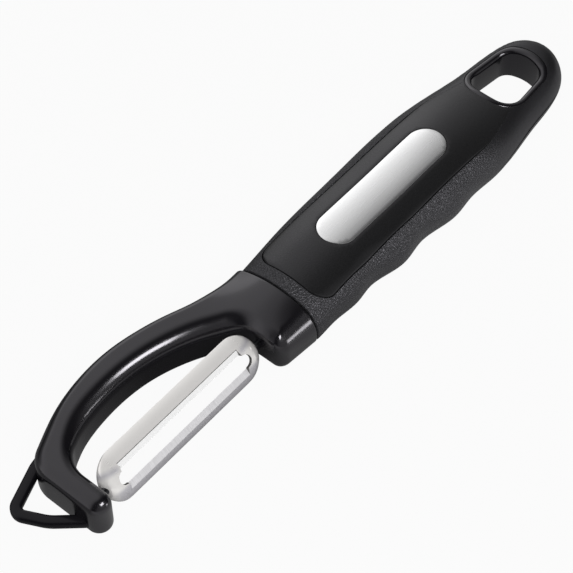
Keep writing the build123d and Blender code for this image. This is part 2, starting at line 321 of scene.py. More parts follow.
# Cuts a closed mesh at a plane across X and closes it with a rounded rim and a flat end
def cutAcross(work, x, keepSide, soften):
    rimX = x + keepSide * soften
    geometry = work.verts[:] + work.edges[:] + work.faces[:]
    made = bmesh.ops.bisect_plane(work, geom=geometry, plane_co=(rimX * mm, 0, 0),
                                  plane_no=(-keepSide, 0, 0), clear_outer=True,
                                  dist=meshSet["merge"])
    cutPoints = [v for v in made["geom_cut"] if isinstance(v, bmesh.types.BMVert)]
    bmesh.ops.remove_doubles(work, verts=cutPoints, dist=meshSet["shortest"] * mm)
    rim = [e for e in work.edges if e.is_boundary]
    ring = [rim[0].verts[0], rim[0].verts[1]]
    follow = {}
    for edge in rim:
        for v in edge.verts:
            follow.setdefault(v, []).append(edge.other_vert(v))
    while len(ring) < len(follow):
        ring.append(next(v for v in follow[ring[-1]] if v is not ring[-2]))
    outline = np.array([(v.co.y / mm, v.co.z / mm) for v in ring])
    if anticlockwise(outline) is not outline:
        ring, outline = ring[::-1], outline[::-1]
    inwards = inwardNormals(outline)
    for angle in np.radians(meshSet["rimAngles"]):
        plan = outline + inwards * soften * (1 - math.cos(angle))
        at = rimX - keepSide * soften * math.sin(angle)
        fresh = [work.verts.new((at * mm, p[0] * mm, p[1] * mm)) for p in plan]
        for i in range(len(ring)):
            k = (i + 1) % len(ring)
            work.faces.new((ring[i], ring[k], fresh[k], fresh[i]))
        ring = fresh
    work.faces.new(ring)


# Surfaces are functions of x and y that give a height

def level(height):
    return lambda x, y: 0 * x + height


def lowered(surface, depth):
    return lambda x, y: surface(x, y) - depth


# How far a round back of this radius has fallen at y from its crown
def roundFall(radius, y):
    widest = 20.0  # no piece goes further out than this
    return radius - np.sqrt(radius**2 - np.clip(np.abs(y), 0, widest)**2)


# Distance from points to a closed outline, and a value carried along it at the nearest place
def nearestOn(outline, values, x, y):
    points = np.column_stack([np.ravel(x), np.ravel(y)])
    best = np.full(len(points), np.inf)
    carried = np.zeros(len(points))
    ends, endValues = np.roll(outline, -1, axis=0), np.roll(values, -1)
    for a, b, valueA, valueB in zip(outline, ends, values, endValues):
        along = b - a
        share = np.clip(((points - a) @ along) / (along @ along), 0, 1)
        away = np.hypot(*(points - a - share[:, None] * along).T)
        nearer = away < best
        best[nearer] = away[nearer]
        carried[nearer] = (valueA + (valueB - valueA) * share)[nearer]
    return best, carried


# A surface that also rolls over towards the outline, downwards on top and upwards on the belly
def rolled(surface, outline, radii, way):
    radii = np.broadcast_to(radii, len(outline))

    def height(x, y):
        inset, radius = nearestOn(outline, radii, x, y)
        inset = np.minimum(inset, radius)
        return surface(x, y) - way * (radius - np.sqrt(radius**2 - (radius - inset)**2))
    return height


# Rings round a rounded edge: upright at an angle of 0, level with the surface at a quarter turn
def edgeRings(shell, outline, surface, radii, angles, side=1, way=1):
    radii = np.broadcast_to(radii, len(outline))
    normals = side * inwardNormals(outline)
    rings = []
    for angle in angles:
        plan = outline + normals * (radii * (1 - np.cos(angle)))[:, None]
        rings.append(shell.ring(plan, surface(*plan.T) - way * radii * (1 - np.sin(angle))))
    return rings


# Rings up the sides that stop part way round both edges, where the rolled caps take over
def rolledSides(shell, outline, surface, topRadii, bellyRadii, capInset, steps=8):
    topRadii, bellyRadii = (np.broadcast_to(r, len(outline)) for r in (topRadii, bellyRadii))
    firstAngle, lastAngle = (np.arccos(1 - capInset / r) for r in (bellyRadii, topRadii))
    turns = np.arange(steps + 1) / steps
    rings = edgeRings(shell, outline, level(0), bellyRadii,
                      [firstAngle * (1 - turn) for turn in turns], way=-1)
    rise = surface(*outline.T) - topRadii - bellyRadii
    rings += [shell.ring(outline, bellyRadii + rise * share) for share in meshSet["wallShares"]]
    rings += edgeRings(shell, outline, surface, topRadii, [lastAngle * turn for turn in turns])
    return shell.stack(rings)


# Rings round an opening's rounded edge and down its wall
def openingEdge(shell, opening, surface, edgeRound, depth, steps=4):
    angles = np.pi / 2 * (1 - np.arange(steps + 1) / steps)
    rings = edgeRings(shell, opening, surface, edgeRound, angles, side=-1)
    return shell.stack([*rings, shell.ring(opening, surface(*opening.T) - depth)])


# Rings from a flat base up a wall and over a small rounded edge
def plateSides(shell, outline, surface, edgeRound, depth, steps=3):
    base = shell.ring(outline, surface(*outline.T) - depth)
    angles = np.pi / 2 * np.arange(steps + 1) / steps
    return shell.stack([base, *edgeRings(shell, outline, surface, edgeRound, angles)])


handleSet = {
    "length": 106.5, "halfWidth": 15.1, "neckHalfWidth": 12.3,
    "neckHeight": 12.4, "panelHeight": 13.4, "buttHeight": 9.8, "crownRadius": 24.0,
    "topRound": 4.4, "bellyRound": 3.5,
    # shares of the length from the joint, and of the half width
    "palmShares": [(0.15, 0.9), (0.34, 0.967), (0.53, 1), (0.67, 0.935), (0.8, 0.805),
                   (0.915, 0.69), (0.963, 0.545)],
    "fingerShares": [(0.07, 0.805), (0.138, 0.84), (0.188, 0.8), (0.29, 0.92), (0.361, 0.862),
                     (0.47, 0.968), (0.5375, 0.925), (0.62, 0.955), (0.7, 0.915), (0.8, 0.81),
                     (0.915, 0.7), (0.963, 0.55)],
    "palmSlope": 0.06, "fingerSlope": 0.03,  # of the sides at the joint
    # shares of the length, and of the fall from the panel's height to the butt's
    "panelFalls": [(0.13, 0), (0.36, 0), (0.58, 0.08), (0.78, 0.88)],
    "neckLead": (12.0, 0.5), "buttLead": 5.0,  # the crown's line goes on past both ends
    "step": 0.5, "capInset": 0.7, "capSpacing": 0.75, "bellySpacing": 1.6, "floorSpacing": 3.0,
    "jointGap": 0.2, "jointSoften": 0.34,
    "past": 9.0, "pastRound": 6.0,  # drawn past the joint, and taken away by the cut there
}
jointX = -handleSet["length"] / 2
buttX = handleSet["length"] / 2


def handleOutline():
    h = handleSet
    length, half = h["length"], h["halfWidth"]
    side = [(jointX, h["neckHalfWidth"])]
    side += [(jointX + x * length, y * half) for x, y in h["palmShares"]]
    side += [(buttX, 0)]
    side += [(jointX + x * length, -y * half) for x, y in reversed(h["fingerShares"])]
    side += [(jointX, -h["neckHalfWidth"])]
    palm, finger, past = h["palmSlope"], h["fingerSlope"], h["past"]
    line = smoothLine(side, (1, palm), (-1, finger), h["step"])
    start = line[0] + np.array([-past, -past * palm])
    end = line[-1] + np.array([-past, past * finger])
    corners = [(*start, h["pastRound"]), *map(tuple, line), (*end, h["pastRound"])]
    return anticlockwise(roundedPath(corners, h["step"]))


def crownStations():
    h = handleSet
    leadX, leadFall = h["neckLead"]
    panel, fall = h["panelHeight"], h["panelHeight"] - h["buttHeight"]
    stations = [(jointX - leadX, h["neckHeight"] - leadFall), (jointX, h["neckHeight"])]
    stations += [(jointX + x * h["length"], panel - f * fall) for x, f in h["panelFalls"]]
    return stations + [(buttX + h["buttLead"], h["buttHeight"])]


handleCrown = heightLine(crownStations())


def handleTop(x, y):
    return handleCrown(x) - roundFall(handleSet["crownRadius"], y)


gripOutline = handleOutline()
gripTop = rolled(handleTop, gripOutline, handleSet["topRound"], 1)
gripBelly = rolled(level(0), gripOutline, handleSet["bellyRound"], -1)

holeSet = {
    "length": 17.8, "endWall": 8.0, "neckHalfWidth": 7.4, "buttHalfWidth": 5.6, "bow": 1.7,
    "neckRound": 4.9, "buttRound": 3.6, "linerWall": 1.9, "step": 0.3,
    "lean": 0.09, "leanFade": 3.0,  # how much narrower the finger side is, and from where
}
holeButtX = buttX - holeSet["endWall"]
holeNeckX = holeButtX - holeSet["length"]
holeMiddleX = (holeButtX + holeNeckX) / 2


# The hang hole's outline, grown by a distance: tapered sides and bowed ends with rounded corners
def holeOutline(grow):
    s = holeSet
    bow = s["bow"]
    ends = [(holeNeckX, 1, s["neckHalfWidth"], s["neckRound"]),
            (holeButtX, -1, s["buttHalfWidth"], s["buttRound"])]
    sides = [np.array([x + way * bow, halfWidth]) for x, way, halfWidth, _ in ends]
    along = unit(sides[1] - sides[0])
    out = np.array([-along[1], along[0]])
    arcs = []
    for (x, way, halfWidth, r), side in zip(ends, sides):
        radius = (halfWidth**2 + bow**2) / (2 * bow)
        centre = np.array([x + way * radius, 0])
        base = side - out * r - centre
        b, c = base @ along, base @ base - (radius - r)**2
        root = min(-b - math.sqrt(b * b - c), -b + math.sqrt(b * b - c), key=abs)
        corner = side - out * r + along * root
        arcs.append((centre, radius + grow, corner, r + grow, angleOf(corner - centre)))
    plan = []

    def sweep(centre, radius, start, end):
        count = max(4, int(abs(end - start) * radius / s["step"]))
        angles = start + (end - start) * np.arange(count) / count
        plan.extend(np.column_stack([centre[0] + radius * np.cos(angles),
                                     centre[1] + radius * np.sin(angles)]))

    (neckCentre, neckRadius, neckCorner, neckRound, neckAngle) = arcs[0]
    (buttCentre, buttRadius, buttCorner, buttRound, buttAngle) = arcs[1]
    sweep(buttCentre, buttRadius, 0, buttAngle)
    sweep(buttCorner, buttRound, buttAngle, angleOf(out))
    plan.append(buttCorner + out * buttRound)
    sweep(neckCorner, neckRound, angleOf(out), neckAngle)
    sweep(neckCentre, neckRadius, neckAngle, math.pi)
    plan = np.array(plan)
    lower = np.vstack([[neckCentre[0] - neckRadius, 0], plan[:0:-1] * [1, -1]])
    whole = np.vstack([plan, lower])
    lean = s["lean"] * (1 - fade(whole[:, 0], holeNeckX, holeButtX))
    whole[:, 1] *= 1 - lean * fade(-whole[:, 1], 0, s["leanFade"])
    return anticlockwise(spaced(whole, s["step"]))


panelSet = {
    "startInset": 4.0, "halfWidth": 10.2, "endHalfWidth": 7.4, "cornerRound": 4.4,
    "fadeX": 16.25, "fadeRound": 30.0,
    "grooveWidth": 0.16, "seam": 0.012, "grooveFade": (6.0, 19.0),
    "edgeRound": 0.32, "seamRound": 0.03,
    "linerGap": 0.03, "linerLap": 0.02,  # the opening clears the liner, and the panel laps its edge
    "sideClear": 0.1, "blunt": 0.12,
    "depth": 1.7, "baseGap": 0.05, "pocket": 0.85, "pocketRound": 0.06,
    "step": 0.4, "capSpacing": 0.9, "pocketSpacing": 2.0, "baseSpacing": 3.0,
}


# The panel's outline from the liner round the neck end and back, grown by the groove, and the
# liner's outline on its butt side and its neck side
def panelOutline(groove=0):
    s = panelSet
    start, end, half = jointX + s["startInset"], s["endHalfWidth"], s["halfWidth"]
    path = roundedPath([(holeNeckX, end), (s["fadeX"], half, s["fadeRound"]),
                        (start, half, s["cornerRound"]), (start, -half, s["cornerRound"]),
                        (s["fadeX"], -half, s["fadeRound"]), (holeNeckX, -end)],
                       s["step"], closed=False)
    if groove:
        width = s["seam"] + (groove - s["seam"]) * (1 - fade(path[:, 0], *s["grooveFade"]))
        path = path - leftOf(np.gradient(path, axis=0)) * width[:, None]
    liner = holeOutline(holeSet["linerWall"] + (s["linerGap"] if groove else -s["linerLap"]))
    reach = [i for i, p in enumerate(path) if not insideOutline(p[None], liner)[0]]
    path = path[reach[0]:reach[-1] + 1]
    x, y = liner.T
    buttSide = liner[x > path[0][0] + s["sideClear"]]
    neckSide = liner[(abs(y) < abs(path[0][1]) - s["sideClear"]) & (x < holeMiddleX)]
    return path, buttSide, neckSide


# The opening in the grip: round the panel and the liner together
def openingOutline():
    path, buttSide, _ = panelOutline(panelSet["grooveWidth"])
    order = np.argsort(np.arctan2(buttSide[:, 1], buttSide[:, 0] - holeMiddleX))
    return anticlockwise(np.vstack([path, buttSide[order]]))


# The panel itself stops against the liner, and the two sharp corners beside that are blunted
def panelPlan():
    path, _, neckSide = panelOutline()
    plan = np.vstack([path, neckSide[np.argsort(neckSide[:, 1])]])
    keep = [min(np.hypot(*(p - path[0])), np.hypot(*(p - path[-1]))) > panelSet["blunt"]
            for p in plan]
    return anticlockwise(plan[keep])


# The groove's edges are rounded at the neck end and close up towards the butt
def seamRound(outline):
    wide, closed = panelSet["edgeRound"], panelSet["seamRound"]
    return wide + (closed - wide) * fade(outline[:, 0], *panelSet["grooveFade"])


def buildGrip():
    h, depth = handleSet, panelSet["depth"]
    shell = Shell()
    belly, top = rolledSides(shell, gripOutline, handleTop, h["topRound"], h["bellyRound"],
                             h["capInset"])
    opening = openingOutline()
    edge, floor = openingEdge(shell, opening, gripTop, seamRound(opening), depth)
    shell.cap(top, [edge], gripTop, h["capSpacing"])
    hole = holeOutline(holeSet["linerWall"])
    upper, lower = shell.ring(hole, gripTop(*hole.T) - depth), shell.ring(hole, gripBelly(*hole.T))
    shell.cap(floor, [upper], lowered(gripTop, depth), h["floorSpacing"])
    shell.join(upper, lower)
    shell.cap(belly, [lower], gripBelly, h["bellySpacing"])
    return shell


inlaySet = {
    "startInset": 16.9, "length": 44.0, "width": 10.2, "sheet": 0.6, "gap": 0.12,
    "edgeRound": 0.13, "sink": 0.02, "step": 0.3, "capSpacing": 0.9, "baseSpacing": 2.0,
}
inlayX = jointX + inlaySet["startInset"] + inlaySet["length"] / 2


def inlayOutline(grow):
    s = inlaySet
    halfLength, halfWidth = s["length"] / 2 + grow, s["width"] / 2 + grow
    corners = [(inlayX + side * halfLength, end * halfWidth, halfWidth * meshSet["fullRound"])
               for side, end in ((1, -1), (1, 1), (-1, 1), (-1, -1))]
    return anticlockwise(roundedPath(corners, s["step"]))


# The smooth panel, with a pocket for the inlay
def buildPanel():
    p = panelSet
    shell = Shell()
    plan = panelPlan()
    depth = p["depth"] - p["baseGap"]
    base, top = plateSides(shell, plan, gripTop, seamRound(plan), depth)
    edge, floor = openingEdge(shell, inlayOutline(inlaySet["gap"]), gripTop, p["pocketRound"],
                              p["pocket"], steps=2)
    shell.cap(top, [edge], gripTop, p["capSpacing"])
    shell.cap(floor, [], lowered(gripTop, p["pocket"]), p["pocketSpacing"])
    shell.cap(base, [], lowered(gripTop, depth), p["baseSpacing"])
    return shell


def buildInlay():
    s = inlaySet
    surface = lowered(gripTop, s["sink"])
    shell = Shell()
    base, top = plateSides(shell, inlayOutline(0), surface, s["edgeRound"], s["sheet"])
    shell.cap(top, [], surface, s["capSpacing"])
    shell.cap(base, [], lowered(surface, s["sheet"]), s["baseSpacing"])
    return shell


linerSet = {
    "clear": 0.02,
    # shares of the wall's thickness from its outside, and heights above the grip's top
    "top": [(0.0, -1.6), (0.0, -0.2), (0.03, -0.09), (0.09, -0.02), (0.2, 0.04), (0.36, 0.08),
            (0.5, 0.07), (0.64, 0.0), (0.77, -0.13), (0.88, -0.33), (0.96, -0.62), (1.0, -1.0)],
    "wall": (0.5, 1.0), "foot": 0.85,  # shares of the way down inside, to this height
    "belly": [(0.95, 0.4), (0.8, 0.14), (0.6, 0.03), (0.4, 0.0), (0.1, 0.02), (0.0, 0.1)],
}


# The liner's lip is nearly flush with the grip and rounds over into the hole
def buildLiner():
    s = linerSet
    shell = Shell()
    outer = holeOutline(holeSet["linerWall"] - s["clear"])
    inner = matchedTo(outer, holeOutline(0))
    base = gripTop(*outer.T)
    lowest = base + s["top"][-1][1]
    profile = [(share, base + rise) for share, rise in s["top"]]
    profile += [(1, lowest * (1 - share) + share * s["foot"]) for share in s["wall"]]
    rings = [shell.ring(outer + (inner - outer) * share, heights)
             for share, heights in profile + s["belly"]]
    shell.stack([*rings, rings[0]])
    return shell


# Points of one outline nearest, by angle round the hole, to those of another
def matchedTo(outer, inner):
    centre = inner.mean(0)
    start = int(np.argmin(np.hypot(*(inner - outer[0]).T)))
    inner = np.roll(inner, -start, axis=0)
    closed = np.vstack([inner, inner[:1]])
    outerAngles, innerAngles = (np.unwrap(np.arctan2(*(line - centre).T[::-1]))
                                for line in (outer, closed))
    innerAngles += 2 * math.pi * round((outerAngles[0] - innerAngles[0]) / (2 * math.pi))
    return np.column_stack([np.interp(outerAngles, innerAngles, side) for side in closed.T])


# The head is one piece: neck, one-sided bow and tip
headSet = {
    "neckLength": 11.8, "neckHalfWidth": 12.3, "neckEndHalfWidth": 11.4, "neckCornerRound": 3.0,
    "palmSlope": 0.06, "fingerSlope": 0.076,  # of the sides at the joint
    "bowReach": 52.4, "outerSweep": 19.4, "innerSweep": 11.0,
    "outerRound": 1.9, "innerRound": 4.4, "tipRound": 2.7, "tipFade": (-118.0, -106.0),
    "facing": (-0.3, 0.6), "spread": 12,  # where the edge faces the blade, points averaged each way
    "bellyRound": 1.6, "neckBellyRound": 3.4, "bellyFade": (-72.0, -62.0),
    "tipBar": 6.2, "pivotSide": 4.3, "tipOverhang": 5.0,
    # shares of the reach, and of the sweep to the side
    "outerShares": [(0.06, 0.613), (0.149, 0.634), (0.227, 0.7), (0.305, 0.81), (0.415, 0.935),
                    (0.518, 1), (0.629, 1), (0.753, 0.925), (0.854, 0.81), (0.925, 0.7)],
    "innerShares": [(0.884, 0.755), (0.705, 0.965), (0.556, 1), (0.409, 0.925), (0.28, 0.75),
                    (0.12, 0.38)],
    # share of the sweep, and radius, of three corners
    "outerCorner": (0.58, 7.5), "innerTip": (0.51, 8.0), "innerNeck": (0.02, 6.5),
    # x, height and bend across of the top
    "crowns": [(-128.0, 11.0, 0.002), (-117.45, 11.0, 0.002), (-76.85, 11.0, 0.002),
               (-65.05, 11.7, 0.0095), (-53.25, 12.4, 0.0417), (-45.0, 12.7, 0.0417)],
    "leastBend": 0.001,
    "step": 0.35, "capInset": 0.6, "capSpacing": 0.42, "bellySpacing": 1.2, "edgeSteps": 6,
}
neckFaceX = jointX - headSet["neckLength"]
tipFaceX = neckFaceX - headSet["bowReach"]
tipBackX = tipFaceX - headSet["tipBar"]
headCrown = heightLine([(x, z) for x, z, _ in headSet["crowns"]])
headBend = heightLine([(x, bend) for x, _, bend in headSet["crowns"]])


def headTop(x, y):
    return headCrown(x) - roundFall(1 / np.clip(headBend(x), headSet["leastBend"], None), y)


def headOutline():
    h = headSet
    reach = jointX - tipBackX
    outerPoints = [(jointX, h["neckHalfWidth"])]
    outerPoints += [(jointX - share * reach, sweep * h["outerSweep"])
                    for share, sweep in h["outerShares"]]
    innerPoints = [(neckFaceX - share * h["bowReach"], sweep * h["innerSweep"])
                   for share, sweep in h["innerShares"]]
    outerCorner = (tipBackX, h["outerCorner"][0] * h["outerSweep"])
    innerTip = (tipFaceX, h["innerTip"][0] * h["innerSweep"])
    innerNeck = (neckFaceX, h["innerNeck"][0] * h["innerSweep"])
    outerLine = smoothLine(outerPoints, (-1, -h["palmSlope"]),
                           np.subtract(outerCorner, outerPoints[-1]), h["step"])
    innerLine = smoothLine(innerPoints, np.subtract(innerPoints[0], innerTip),
                           np.subtract(innerNeck, innerPoints[-1]), h["step"])
    tipEnd, tipRound = -h["pivotSide"] - h["tipOverhang"], h["tipBar"] / 2 * meshSet["fullRound"]
    past, pastRound = handleSet["past"], handleSet["pastRound"]
    corners = [(*(outerLine[0] + [past, past * h["palmSlope"]]), pastRound),
               *map(tuple, outerLine), (*outerCorner, h["outerCorner"][1]),
               (tipBackX, tipEnd, tipRound), (tipFaceX, tipEnd, tipRound),
               (*innerTip, h["innerTip"][1]), *map(tuple, innerLine),
               (*innerNeck, h["innerNeck"][1]),
               (neckFaceX, -h["neckEndHalfWidth"], h["neckCornerRound"]),
               (jointX, -h["neckHalfWidth"]),
               (jointX + past, -h["neckHalfWidth"] - past * h["fingerSlope"], pastRound)]
    return anticlockwise(roundedPath(corners, h["step"]))


# How wide the top edge rolls over at each point: wide where the edge faces the blade's side
def headRounding(outline):
    h = headSet
    facing = fade(inwardNormals(outline)[:, 1], *h["facing"])
    along = fade(outline[:, 0], *h["tipFade"])
    radii = h["outerRound"] + (h["innerRound"] - h["outerRound"]) * facing
    radii = h["tipRound"] + (radii - h["tipRound"]) * along
    spread = h["spread"]
    return sum(np.roll(radii, k) for k in range(-spread, spread + 1)) / (2 * spread + 1)


def buildHead():
    h = headSet
    shell = Shell()
    outline = headOutline()
    radii = headRounding(outline)
    bellies = fade(outline[:, 0], *h["bellyFade"])
    bellies = h["bellyRound"] + (h["neckBellyRound"] - h["bellyRound"]) * bellies
    belly, top = rolledSides(shell, outline, headTop, radii, bellies, h["capInset"],
                             h["edgeSteps"])
    shell.cap(top, [], rolled(headTop, outline, radii, 1), h["capSpacing"])
    shell.cap(belly, [], rolled(level(0), outline, bellies, -1), h["bellySpacing"])
    return shell


# The eye remover is a strap, swept along its path by Geometry Nodes
loopSet = {
    "outline": [(-109.05, 16.2, 0), (-120.55, 14.2, 12.0), (-133.55, 9.4, 3.4),
                (-129.25, 0.7, 12.0), (-123.65, -5.6, 0), (-121.0, -6.6, 0)],
    "width": 2.1, "height": 2.8, "belly": 1.3, "edgeRound": 0.7, "roundParts": 5,
    "step": 0.4, "crease": 40.0,
}


# The middle line of the strap, half its width inside the outline
def loopPath():
    s = loopSet
    outline = roundedPath(s["outline"], s["step"], closed=False)
    path = outline + leftOf(np.gradient(outline, axis=0)) * s["width"] / 2
    return [(x * mm, y * mm, (s["belly"] + s["height"] / 2) * mm) for x, y in path]


# A node tree that sweeps a rounded rectangle along an edge path
def sweepTree():
    tree = bpy.data.node_groups.new("strapAlongPath", "GeometryNodeTree")
    for label, way, kind in (("Path", "INPUT", "Geometry"), ("Width", "INPUT", "Float"),
                             ("Height", "INPUT", "Float"), ("Edge round", "INPUT", "Float"),
                             ("Material", "INPUT", "Material"), ("Strap", "OUTPUT", "Geometry")):
        tree.interface.new_socket(label, in_out=way, socket_type="NodeSocket" + kind)
    node = tree.nodes.new
    given, made = node("NodeGroupInput"), node("NodeGroupOutput")
    toCurve = node("GeometryNodeMeshToCurve")
    profile = node("GeometryNodeCurvePrimitiveQuadrilateral")
    fillet = node("GeometryNodeFilletCurve")
    sweep = node("GeometryNodeCurveToMesh")
    smooth = node("GeometryNodeSetShadeSmooth")
    realize = node("GeometryNodeRealizeInstances")
    paint = node("GeometryNodeSetMaterial")
    fillet.mode = "POLY"
    fillet.inputs["Count"].default_value = loopSet["roundParts"]
    sweep.inputs["Fill Caps"].default_value = True
    for start, end in ((given.outputs["Path"], toCurve.inputs[0]),
                       (given.outputs["Width"], profile.inputs["Width"]),
                       (given.outputs["Height"], profile.inputs["Height"]),
                       (profile.outputs[0], fillet.inputs["Curve"]),
                       (given.outputs["Edge round"], fillet.inputs["Radius"]),
                       (toCurve.outputs[0], sweep.inputs["Curve"]),
                       (fillet.outputs[0], sweep.inputs["Profile Curve"]),
                       (sweep.outputs[0], smooth.inputs["Geometry"]),
                       (smooth.outputs[0], realize.inputs[0]),
                       (realize.outputs[0], paint.inputs["Geometry"]),
                       (given.outputs["Material"], paint.inputs["Material"]),
                       (paint.outputs[0], made.inputs[0])):
        tree.links.new(start, end)
    return tree


# Runs a node tree on a path of points and keeps the result as a plain mesh
def grown(name, tree, points, values, material, crease):
    mesh = bpy.data.meshes.new(name + "Path")
    mesh.from_pydata(points, [(i, i + 1) for i in range(len(points) - 1)], [])
    carrier = bpy.data.objects.new(name + "Path", mesh)
    scene.collection.objects.link(carrier)
    modifier = carrier.modifiers.new("nodes", "NODES")
    modifier.node_group = tree
    sockets = {item.name: item.identifier for item in tree.interface.items_tree
               if item.in_out == "INPUT"}
    for label, value in {**values, "Material": material}.items():
        modifier[sockets[label]] = value
    bpy.context.view_layer.update()
    evaluated = carrier.evaluated_get(bpy.context.evaluated_depsgraph_get())
    result = bpy.data.meshes.new_from_object(evaluated)
    result.name = name
    result.materials.clear()
    bpy.data.objects.remove(carrier)
    return finishMesh(name, result, [material], crease)


# The blade is an arched, slotted steel sheet with ground edges, made in its own tilted frame
bladeSet = {
    "pivot": (-91.25, -4.3, 6.2), "tilt": 55.0, "length": 50.8, "archRadius": 8.0,
    "halfArch": 53.0, "crown": 1.99, "rim": -1.2, "sheet": 0.9, "endRound": 2.9,
    "slotLength": 43.4, "slotWidth": 3.4, "bevelLength": 39.6, "bevelStep": 0.5, "slotArc": 13,
    "edgeInside": 1.95, "edgeOutside": 3.65,
    # painted shade: the dark line stands in for the shade on the small rounding where the ground
    # edge begins
    "shadeLineShare": 0.12,  # the dark line where the ground edge begins
    # how far inside the rim its rings are, and the least that each rises above it
    "outsideInsets": [0.002, 0.05, 0.15, 0.32, 0.6, 1.0, 1.45],
    "insideInsets": [0.002, 0.06, 0.2, 0.45, 0.8, 1.2], "leastRise": 0.01, "leastSlope": 0.05,
    "step": 0.3, "capSpacing": 0.6, "insideCoarser": 1.5, "rimSpacing": 3.0, "crease": 30.0,
}
bladeHalf = bladeSet["archRadius"] * math.sin(math.radians(bladeSet["halfArch"]))
bladeCentre = bladeSet["crown"] - bladeSet["archRadius"]
bladeTilt = math.radians(bladeSet["tilt"])
bladeAcross = np.array([0, math.cos(bladeTilt), math.sin(bladeTilt)])
bladeUp = np.array([0, -math.sin(bladeTilt), math.cos(bladeTilt)])
highlightMark, groundMark, shadeLineMark = 1, 2, 3  # places in the blade's list of materials


def stadium(halfLength, halfWidth, step):
    arcs = []
    count = int(math.pi * halfWidth / step)
    for side in (1, -1):
        angles = -side * np.radians(90) + np.pi * np.arange(count + 1) / count
        centre = side * (halfLength - halfWidth)
        arcs.append(np.column_stack([centre + halfWidth * np.cos(angles),
                                     halfWidth * np.sin(angles)]))
    return anticlockwise(spaced(np.vstack(arcs), step))


# Height of the arch that ends in domes, for a sheet surface of the given radius and reach
def archHeight(radius, halfLength, halfWidth, endRound):
    rim = bladeSet["rim"]

    def height(x, y):
        x, y = np.asarray(x, float), np.asarray(y, float)
        arch = bladeCentre + np.sqrt(np.clip(radius**2 - y**2, 0, None))
        past = np.clip(np.abs(x) - (halfLength - halfWidth), 0, None)
        reach = np.hypot(past, y)
        inset = np.clip(halfWidth - reach, 0, endRound)
        share = np.sqrt(np.clip(1 - (1 - inset / endRound)**2, 0, 1))
        weight = fade(past / np.maximum(reach, 1e-6), 0.0, 1.0)
        return rim + np.maximum(arch - rim, 0.0) * (1 - (1 - share) * weight)
    return height


# The slot with its ground edges: wider between the bevel ends, round past them
def slotOutline(edge):
    s = bladeSet
    x, r = s["bevelLength"] / 2, s["slotWidth"] / 2
    centre = s["slotLength"] / 2 - r
    angles = np.linspace(-math.pi / 2, math.pi / 2, s["slotArc"])
    arc = np.column_stack([centre + r * np.cos(angles), r * np.sin(angles)])
    along = np.linspace(-x, x, int(2 * x / s["bevelStep"]) + 1)
    lower = np.column_stack([along, np.full(len(along), -edge)])
    end = np.vstack([[x, -(edge + r) / 2], arc, [x, (edge + r) / 2]])
    half = np.vstack([lower, end])
    # painted shade: the slot's end walls take the dark line's material
    walls = [shadeLineMark] * (len(end) + 1)
    sides = [[mark] * (len(along) - 1) + walls for mark in (groundMark, highlightMark)]
    return np.vstack([half, -half]), sides[0] + sides[1]


def buildBlade():
    s = bladeSet
    shell = Shell()
    innerRadius = s["archRadius"] - s["sheet"]
    innerHalf = math.sqrt(innerRadius**2 - (s["rim"] - bladeCentre)**2)
    outerLength = s["length"] / 2
    innerLength = outerLength - s["sheet"]
    outer = archHeight(s["archRadius"], outerLength, bladeHalf, s["endRound"])
    inner = archHeight(innerRadius, innerLength, innerHalf, s["endRound"] - s["sheet"])

    def sheetSide(halfLength, halfWidth, surface, insets):
        plan = stadium(halfLength, halfWidth, s["step"])
        inwards = inwardNormals(plan)
        rings = [shell.ring(plan, s["rim"])]
        for inset in insets:
            ring = plan + inwards * inset
            least = s["rim"] + s["leastRise"] + inset * s["leastSlope"]
            rings.append(shell.ring(ring, np.maximum(surface(*ring.T), least)))
        return shell.stack(rings)

    outside, outsideTop = sheetSide(outerLength, bladeHalf, outer, s["outsideInsets"])
    inside, insideTop = sheetSide(innerLength, innerHalf, inner, s["insideInsets"])
    shell.cap(outside, [inside], level(s["rim"]), s["rimSpacing"])
    plan, marks = slotOutline(s["edgeOutside"])
    mouth = shell.ring(plan, outer(*plan.T))
    inPlan, _ = slotOutline(s["edgeInside"])
    throat = shell.ring(inPlan, inner(*inPlan.T))
    # painted shade: a narrow band at the top of the bright bevel takes the dark line's material
    down = s["shadeLineShare"]
    lip = shell.ring(plan + (inPlan - plan) * down,
                     outer(*plan.T) * (1 - down) + inner(*inPlan.T) * down)
    shell.join(mouth, lip, [shadeLineMark if mark == highlightMark else mark for mark in marks])
    shell.join(lip, throat, marks)
    shell.cap(outsideTop, [mouth], outer, s["capSpacing"])
    shell.cap(insideTop, [throat], inner, s["capSpacing"] * s["insideCoarser"])
    return shell


def bladePlace(points):
    return (np.array(bladeSet["pivot"]) + points[:, :1] * np.array([1, 0, 0])
            + points[:, 1:2] * bladeAcross + points[:, 2:3] * bladeUp)


# Builds nodes in the tree of a material or of the world
class Nodes:
    def __init__(self, tree, place="Object"):
        self.tree = tree
        self.place = self.node("ShaderNodeTexCoord").outputs[place]

    def node(self, kind, **values):
        made = self.tree.nodes.new(kind)
        for key, value in values.items():
            setattr(made, key, value)
        return made

    def link(self, a, b):
        self.tree.links.new(a, b)

    def math(self, operation, a, b=0.0):
        made = self.node("ShaderNodeMath", operation=operation)
        for socket, value in zip(made.inputs, (a, b)):
            if isinstance(value, (int, float)):
                socket.default_value = value
            else:
                self.link(value, socket)
        return made.outputs[0]

    # Takes a value from the range low to high to another range
    def ramp(self, value, low, high, outLow, outHigh):
        made = self.node("ShaderNodeMapRange")
        for socket, number in zip(("From Min", "From Max", "To Min", "To Max"),
                                  (low, high, outLow, outHigh)):
            made.inputs[socket].default_value = number
        self.link(value, made.inputs["Value"])
        return made.outputs["Result"]

    def axis(self, name):
        apart = self.node("ShaderNodeSeparateXYZ")
        self.link(self.place, apart.inputs[0])
        return apart.outputs[name]

    # Whether a ray is the camera's own, and whether it was reflected or let through
    def rays(self):
        path = self.node("ShaderNodeLightPath").outputs
        mirrored = self.math("MAXIMUM", path["Is Glossy Ray"], path["Is Transmission Ray"])
        return path["Is Camera Ray"], mirrored


